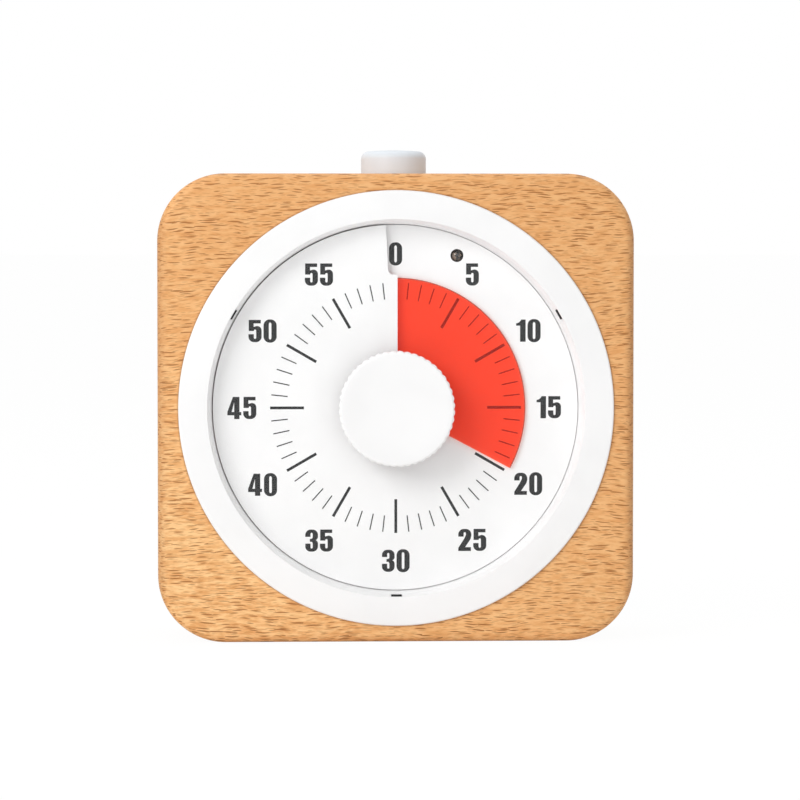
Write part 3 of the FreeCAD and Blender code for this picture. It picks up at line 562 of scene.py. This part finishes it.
def make_case():
    """The beech block: rounded corners, eased edges, bored through, with the button's hole."""
    block = brick(case_low[0], case_high[0], front_y, back_y, case_low[2], case_high[2])
    block.name = "beech_case"
    edit(block, "EDGE")
    depth = back_y - front_y
    round_edges(block, lambda a, b: abs(abs(a.y - b.y) - depth) < tiny, corner_radius, 28)
    round_edges(block, lambda a, b: abs(a.y - b.y) < tiny and abs(abs(a.y) - depth / 2) < tiny,
                edge_radius, 8)
    bpy.ops.object.mode_set(mode="OBJECT")
    cut(block, drum(bore_radius, front_y - MM, back_y + MM))
    cut(block, drum(bezel_radius + bezel_seat_gap, front_y - MM, front_y + bezel_seat_depth))
    cut(block, drum(cover_seat_radius, back_y - cover_seat_depth, back_y + MM))
    start_clean()
    bpy.ops.mesh.primitive_cylinder_add(vertices=96, radius=button_hole_radius,
                                        depth=2 * button_hole_depth, location=(0, 0, case_high[2]))
    cut(block, bpy.context.object)
    dress(block, "beech", "case", ["wood_case"])


def make_bezel():
    """The white ring with a rounded rim, a tapered wall with three snap windows, and a barrel."""
    face_y = bezel_low[1]
    rim = 0.5 * MM
    lip = 0.12 * MM
    window_front = face_y + 0.35 * MM
    window_width = 2.0 * MM
    window_reach = 3.0 * MM
    window_half_length = tab_half_width + tab_gap
    flange_y = face_y + flange_depth
    outline = [(mouth_radius + lip, face_y)]
    outline += [(bezel_radius - rim + rim * math.sin(turn), face_y + rim - rim * math.cos(turn))
                for turn in quarter(6)]
    outline += [
        (bezel_radius, flange_y),
        (barrel_radius, flange_y),
        (barrel_radius, flange_y + barrel_length),
        (throat_radius, flange_y + barrel_length),
        (throat_radius, face_y + throat_depth),
        (mouth_radius, face_y + lip),
    ]
    ring = lathe("bezel_ring", outline)
    for angle in tab_angles:
        tool = brick(-window_half_length, window_half_length,
                     window_front, window_front + window_width,
                     throat_radius - MM, mouth_radius + window_reach)
        turn_to(tool, angle)
        cut(ring, tool)
    dress(ring, "white_plastic", "case", ["bezel"])


# The dial and the disc, two winding sheets of one pitch

def winding_sheet(name, radii, first, last, lift, thickness):
    """A sheet that winds towards the viewer. first and last give its two ends at a radius."""
    verts = []
    for radius in radii:
        for angle in spread(first(radius), last(radius), winding_steps):
            x, z = polar(radius, angle)
            verts.append((x, dial_y - lift - pitch * angle / 360, z))
    width = winding_steps + 1
    faces = []
    for ring in range(len(radii) - 1):
        for step in range(winding_steps):
            corner = ring * width + step
            faces.append((corner, corner + 1, corner + width + 1, corner + width))
    sheet = new_piece(name, verts, faces=faces)
    modify(sheet, "SOLIDIFY", thickness=thickness, offset=-1.0, use_even_offset=True)
    face_outward(sheet)
    return sheet


def lip_angle(radius):
    """Where the dial's upper end lies: straight beside twelve, then stepped back behind the 0."""
    if radius <= lip_radius:
        x = lip_offset
    elif radius < lip_radius + lip_round:
        drop = lip_radius + lip_round - radius
        x = step_inner + lip_round - math.sqrt(lip_round ** 2 - drop ** 2)
    else:
        x = step_inner - step_slope * (radius - lip_radius)
    return 360 + math.degrees(math.asin(x / radius))


def make_dial():
    """The printed plate, with finer rings at the lip's rounded corner and the light's hole."""
    radii = spread(dial_hole, lip_radius, 10)
    radii += [lip_radius + 0.001 * MM + lip_round * (1 - math.cos(turn)) for turn in quarter(12)]
    radii += spread(radii[-1], dial_radius, 8)[1:]
    lift = -pitch / 2 + dial_thickness / 2
    plate = winding_sheet("dial_face", radii, lambda r: dial_start, lip_angle, lift,
                          dial_thickness)
    x, z = polar(light_radius, light_angle)
    cut(plate, drum(light_hole_radius, dial_y - 4 * MM, dial_y + 4 * MM, x, z, verts=48))
    dress(plate, "dial_white", "case", ["dial_plate"])


def make_disc():
    """The red disc, its edge at the minutes that the photograph shows."""
    disc = winding_sheet("red_disc", spread(hub_radius, disc_radius, 6),
                         lambda r: set_angle - disc_span, lambda r: set_angle,
                         disc_thickness / 2, disc_thickness)
    dress(disc, "red_plastic", "disc", ["time_disc"])


# Printing on the dial, its outlines in millimetres

def arc(x, z, across, up, start, end, count=8):
    """Points on an ellipse, from one angle to another, anticlockwise from the right."""
    turns = [math.radians(angle) for angle in spread(start, end, count)]
    return [(x + across * math.cos(turn), z + up * math.sin(turn)) for turn in turns]


glyph_height = 5.6
glyph_gap = 0.5
glyph_widths = {"0": 3.3, "1": 2.4, "2": 3.3, "3": 3.2, "4": 3.4, "5": 3.3}
glyphs = {
    "0": [arc(1.75, 4.2, 1.55, 1.53, 0, 90) + arc(1.55, 4.2, 1.55, 1.53, 90, 180)
          + arc(1.55, 1.4, 1.55, 1.53, 180, 270) + arc(1.75, 1.4, 1.55, 1.53, 270, 360),
          arc(1.65, 4.5, 0.33, 0.45, 0, 180) + arc(1.65, 1.1, 0.33, 0.45, 180, 360)],
    "1": [[(0.0, 4.06), (0.0, 4.64)] + arc(-0.1, 6.1, 1.46, 1.46, 275, 340, 5)
          + [(2.4, 5.6), (2.4, 0.0), (1.0, 0.0), (1.0, 4.06)]],
    "2": [[(0.0, 3.65)] + arc(1.4, 4.2, 1.4, 1.4, 180, 90) + arc(1.9, 4.2, 1.4, 1.4, 90, 0)
          + [(3.3, 3.75), (3.05, 2.95), (1.72, 0.98), (3.2, 0.98), (3.2, 0.0), (0.0, 0.0),
             (0.0, 0.78), (1.62, 3.35), (1.95, 4.1)]
          + arc(1.65, 4.45, 0.3, 0.33, 0, 180, 6) + [(1.35, 3.65)]],
    "3": [[(0.0, 3.75)] + arc(1.35, 4.25, 1.35, 1.35, 180, 90) + arc(1.85, 4.25, 1.35, 1.35, 90, 0)
          + [(3.2, 3.6), (2.98, 3.15), (2.62, 2.92), (2.98, 2.68), (3.2, 2.2)]
          + arc(1.85, 1.35, 1.35, 1.35, 0, -90) + arc(1.35, 1.35, 1.35, 1.35, 270, 180)
          + [(0.0, 2.05), (1.32, 2.05)] + arc(1.6, 1.1, 0.28, 0.3, 180, 360, 6)
          + [(1.88, 2.1), (1.7, 2.48), (1.15, 2.52), (1.15, 3.22), (1.7, 3.3), (1.88, 3.6)]
          + arc(1.6, 4.5, 0.28, 0.3, 0, 180, 6) + [(1.32, 3.75)]],
    "4": [[(1.3, 5.6), (2.95, 5.6), (2.95, 1.78), (3.4, 1.78), (3.4, 0.95), (2.95, 0.95),
           (2.95, 0.0), (1.62, 0.0), (1.62, 0.95), (-0.1, 0.95), (-0.1, 1.78)],
          [(1.62, 1.78), (1.62, 4.25), (0.98, 1.78)]],
    "5": [[(0.08, 5.6), (3.1, 5.6), (3.1, 4.72), (1.3, 4.72), (1.3, 3.82)]
          + arc(2.2, 2.95, 1.1, 1.1, 115, 0) + arc(1.9, 1.4, 1.4, 1.4, 0, -90)
          + arc(1.4, 1.4, 1.4, 1.4, 270, 180) + [(0.0, 2.0), (1.35, 2.0)]
          + arc(1.65, 1.1, 0.3, 0.3, 180, 360, 6) + arc(1.65, 2.9, 0.3, 0.3, 0, 180, 6)
          + [(1.35, 2.8), (0.08, 2.8)]],
}
number_radius = 38.8
slit_margin = 0.4
# The inner end, outer end and width of the marks
mark_sizes = {"five_minute_marks": (23.2, 31.75, 0.7), "minute_marks": (27.45, 31.6, 0.28)}


def flat_print(name, outlines):
    """Fill closed outlines of (x, z) points, the later ones being holes, and stand them up."""
    curve = bpy.data.curves.new(name, "CURVE")
    curve.dimensions = "2D"
    curve.fill_mode = "BOTH"
    curve.extrude = print_lift / 2
    for outline in outlines:
        line = curve.splines.new("POLY")
        line.points.add(len(outline) - 1)
        for point, (x, z) in zip(line.points, outline):
            point.co = (x * MM, z * MM, 0, 1)
        line.use_cyclic_u = True
    piece = bpy.data.objects.new(name, curve)
    bpy.context.collection.objects.link(piece)
    make_active(piece)
    bpy.ops.object.convert(target="MESH")
    piece = bpy.context.object
    piece.data.transform(Matrix.Rotation(math.pi / 2, 4, "X"))
    return piece


def clock_angle(point):
    """A point's clock angle, past 360 where it lies on the upper layer, left of the slit."""
    angle = math.degrees(math.atan2(point.x, point.z - dial_z))
    radius = math.hypot(point.x, point.z - dial_z)
    return angle + 360 if angle < lip_angle(radius) - 360 - slit_margin else angle


def lay_on_dial(piece, angle_of):
    """Bring each point of an upright print to the dial's front face at its clock angle."""
    for vert in piece.data.vertices:
        vert.co.y += dial_front(angle_of(vert.co)) - print_lift / 2


def make_numbers():
    """The minutes, upright, every thirty degrees."""
    for step in range(12):
        text = str(step * 5)
        width = sum(glyph_widths[sign] + glyph_gap for sign in text) - glyph_gap
        x, z = polar(number_radius * MM, step * 30)
        left = x - width / 2 * MM
        signs = []
        for place, sign in enumerate(text):
            piece = flat_print(f"sign_{text}_{place}", glyphs[sign])
            turn_to(piece, 0, left, z - glyph_height / 2 * MM)
            lay_on_dial(piece, clock_angle)
            left += (glyph_widths[sign] + glyph_gap) * MM
            signs.append(piece)
        dress(join(f"number_{text}", signs), "ink", "case")


def make_marks():
    """A mark at each minute from 1 to 59, a long one at every fifth."""
    groups = {name: [] for name in mark_sizes}
    for minute in range(1, 60):
        name = "minute_marks" if minute % 5 else "five_minute_marks"
        inner, outer, width = mark_sizes[name]
        half = width / 2
        middle = (inner + outer) / 2
        outline = [(-half, inner), (half, inner), (half, middle), (half, outer), (-half, outer),
                   (-half, middle)]
        piece = flat_print(f"mark_{minute:02d}", [outline])
        turn_to(piece, minute * 6)
        lay_on_dial(piece, lambda point: minute * 6)
        groups[name].append(piece)
    for name, marks in groups.items():
        dress(join(name, marks), "ink", "case")


# Knob, lens, button and screws

def ribbed_ring(radius, y, depth):
    """The points of one ring round the knob, scalloped by its ribs."""
    ring = []
    for step in range(knob_ribs * points_per_rib):
        share = (step % points_per_rib) / points_per_rib
        waved = radius - depth * (1 - math.sin(math.pi * share))
        x, z = polar(waved, 360 * step / knob_ribs / points_per_rib)
        ring.append((x, y, z))
    return ring


def make_knob():
    """The ribbed knob: a rounded front rim, a slightly dished face and a hollow back."""
    front = knob_low[1]
    back = knob_high[1]
    rim = 0.8 * MM
    dish = 0.12 * MM
    dish_start, dish_end = 2.4 * MM, 3.4 * MM
    hollow_radius = knob_radius - 1.7 * MM
    hollow_depth = 2.6 * MM
    rings = [ribbed_ring(hollow_radius, back - hollow_depth, 0),
             ribbed_ring(hollow_radius, back, 0),
             ribbed_ring(knob_radius, back, rib_depth)]
    for turn in quarter(8):
        radius = knob_radius - rim + rim * math.cos(turn)
        y = front + rim - rim * math.sin(turn)
        rings.append(ribbed_ring(radius, y, rib_depth * math.cos(turn)))
    rings.append(ribbed_ring(knob_radius - dish_start, front, 0))
    rings.append(ribbed_ring(knob_radius - dish_end, front + dish, 0))
    count = knob_ribs * points_per_rib
    faces = [tuple(range(count)), tuple(range((len(rings) - 1) * count, len(rings) * count))]
    for start in range(0, (len(rings) - 1) * count, count):
        for step in range(count):
            near, after = start + step, start + (step + 1) % count
            faces.append((near, after, after + count, near + count))
    knob = new_piece("knob_cap", [point for ring in rings for point in ring], faces=faces)
    face_outward(knob)
    dress(knob, "white_plastic", "knob", ["knob"])


def make_lens():
    """The clear window with its hole, and its three tabs, which are black to paint the shade
    inside the bezel's windows.
    """
    radius = 46.95 * MM
    hole = 3.3 * MM
    ease = 0.1 * MM
    overlap = 0.02 * MM
    low, high = lens_low[1], lens_high[1]
    outline = [(hole, low), (radius - ease, low), (radius, low + ease), (radius, high),
               (hole, high)]
    dress(lathe("window", outline, steps=192), "clear_plastic", "case", ["lens"])
    tabs = []
    for angle in tab_angles:
        tab = brick(-tab_half_width, tab_half_width, low, high, radius - overlap,
                    mouth_radius + tab_length)
        turn_to(tab, angle)
        tabs.append(tab)
    # Painted shade: the tabs are black, standing in for the shade inside the bezel's windows.
    dress(join("window_tabs_painted_shade", tabs), "black_plastic", "case")


def make_button():
    """The push button: a hollow cap with a rounded edge, on a stem grooved for its clip."""
    radius = (button_high[0] - button_low[0]) / 2
    top = button_high[2]
    low = case_high[2] - 2.6 * MM
    edge = 2.0 * MM
    dome = 0.25 * MM
    wall = 1.6 * MM
    stem = 3.0 * MM
    groove = stem - 0.6 * MM
    clip_low, clip_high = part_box("button_clip")
    flat = radius - edge
    bend = top - dome - edge
    outline = [(flat * i / 8, top - dome * (i / 8) ** 2) for i in range(9)]
    outline += [(flat + edge * math.sin(turn), bend + edge * math.cos(turn))
                for turn in quarter(9)[1:]]
    outline += [(radius, low), (radius - wall, low), (radius - wall, top - wall),
                (stem, top - wall), (stem, clip_high[2]), (groove, clip_high[2]),
                (groove, clip_low[2]), (stem, clip_low[2]), (stem, button_low[2]),
                (0.0, button_low[2])]
    points = [(across, 0, height) for across, height in outline]
    button = spin("push_button", points, 128, (0, 0, 1), closed=False)
    dress(button, "button_plastic", "button", ["top_button"])


def make_cross_screws():
    """Pan heads with a cross recess in the back cover."""
    head_y = back_y - 1.2 * MM
    radius = 2.3 * MM
    ease = 0.35 * MM
    slot_half_length, slot_half_width, slot_depth = 1.3 * MM, 0.25 * MM, 0.9 * MM
    outline = [(0.0, back_y - 0.05 * MM), (radius - ease * 2, back_y - 0.1 * MM),
               (radius - ease * 0.3, back_y - ease), (radius, head_y + 0.2 * MM),
               (radius, head_y), (0.0, head_y)]
    heads = []
    for index, angle in enumerate((45, 135, 225, 315)):
        x, z = polar(screw_circle, angle)
        head = lathe(f"cover_screw_{index}", outline, steps=48, closed=False, x=x, z=z)
        for turn in (0, 90):
            tool = brick(-slot_half_length, slot_half_length, back_y - slot_depth, back_y + MM,
                         -slot_half_width, slot_half_width)
            turn_to(tool, turn + 20 * index, x, z)
            cut(head, tool)
        heads.append(head)
    dress(join("cover_screw_heads", heads), "steel", "case", ["cover_screws"])


def dress_nodes():
    """The frame's own nodes keep their shape and get their finish."""
    slots = {part["node"]: part["material_slot"] for part in frame["record"]["subparts"]}
    for name, node in nodes.items():
        node.data.materials.clear()
        node.data.materials.append(finishes[slots[name]])


# Floor, light and camera

def make_floor():
    """A pale floor that reads as white and keeps a faint shadow."""
    start_clean()
    bpy.ops.mesh.primitive_plane_add(size=80, location=(0, 0, 0))
    floor = bpy.context.object
    floor.name = "floor"
    matt = Finish("floor", Base_Color=(0.9, 0.9, 0.9, 1), Roughness=0.8)
    bright = matt.node("ShaderNodeEmission", {"Strength": 1.014})
    seen = matt.seen_by("Is Camera Ray", "Is Transmission Ray")
    matt.blend(seen * 0.95, "Principled BSDF", bright)
    floor.data.materials.append(matt.material)


def make_world():
    """An even pale surround, white where it is seen directly, in a mirror or through the lens."""
    world = bpy.data.worlds.new("studio")
    bpy.context.scene.world = world
    world.use_nodes = True
    sky = Shop(world.node_tree)
    sky.put(sky.tree.nodes["Background"], {"Color": (1, 1, 1, 1), "Strength": 0.55})
    white = sky.node("ShaderNodeBackground", {"Color": (1, 1, 1, 1), "Strength": 1.0})
    seen = sky.seen_by("Is Camera Ray", "Is Glossy Ray", "Is Transmission Ray")
    sky.blend(seen, "Background", white, "World Output")


def lamp(name, place, size, power):
    """A square soft light that points at the dial; metres and watts."""
    light = bpy.data.lights.new(name, "AREA")
    light.size = size
    light.energy = power
    made = bpy.data.objects.new(name, light)
    made.location = place
    towards = Vector((0, 0, dial_z)) - Vector(place)
    made.rotation_euler = towards.to_track_quat("-Z", "Y").to_euler()
    bpy.context.collection.objects.link(made)


def make_camera():
    """The camera stands 0.9 m before the dial, a little to the left of it and above it."""
    pixels_per_metre = 3983.0
    frame_pixels = 800
    face_centre = Vector((0, bezel_low[1], dial_z))
    face_at = (396.7, 408.6)
    foot_at = (245.0, 246.0)
    distance = 0.9

    def on_face(pixel):
        """The point of the bezel's front plane that a pixel shows."""
        across = (pixel[0] - face_at[0]) / pixels_per_metre
        down = (pixel[1] - face_at[1]) / pixels_per_metre
        return face_centre + Vector((across, 0, -down))

    place = on_face(foot_at) + Vector((0, -distance, 0))
    aim = on_face((frame_pixels / 2, frame_pixels / 2))
    data = bpy.data.cameras.new("camera")
    data.sensor_fit = "HORIZONTAL"
    data.angle = 2 * math.atan(frame_pixels / 2 / pixels_per_metre / (aim - place).length)
    data.clip_start = 0.01
    camera = bpy.data.objects.new("camera", data)
    camera.location = place
    camera.rotation_euler = (aim - place).to_track_quat("-Z", "Y").to_euler()
    bpy.context.collection.objects.link(camera)
    bpy.context.scene.camera = camera


dress_nodes()
make_case()
make_bezel()
make_dial()
make_disc()
make_numbers()
make_marks()
make_knob()
make_lens()
make_button()
make_cross_screws()
make_floor()
make_world()
lamp("key", (-0.8, -0.9, 0.7), 0.75, 8.5)
lamp("fill", (0.5, -1.1, 0.1), 0.9, 1.0)
lamp("top", (0.0, 0.3, 1.1), 0.8, 2.5)
make_camera()
bpy.context.scene.view_settings.view_transform = "Standard"

import json
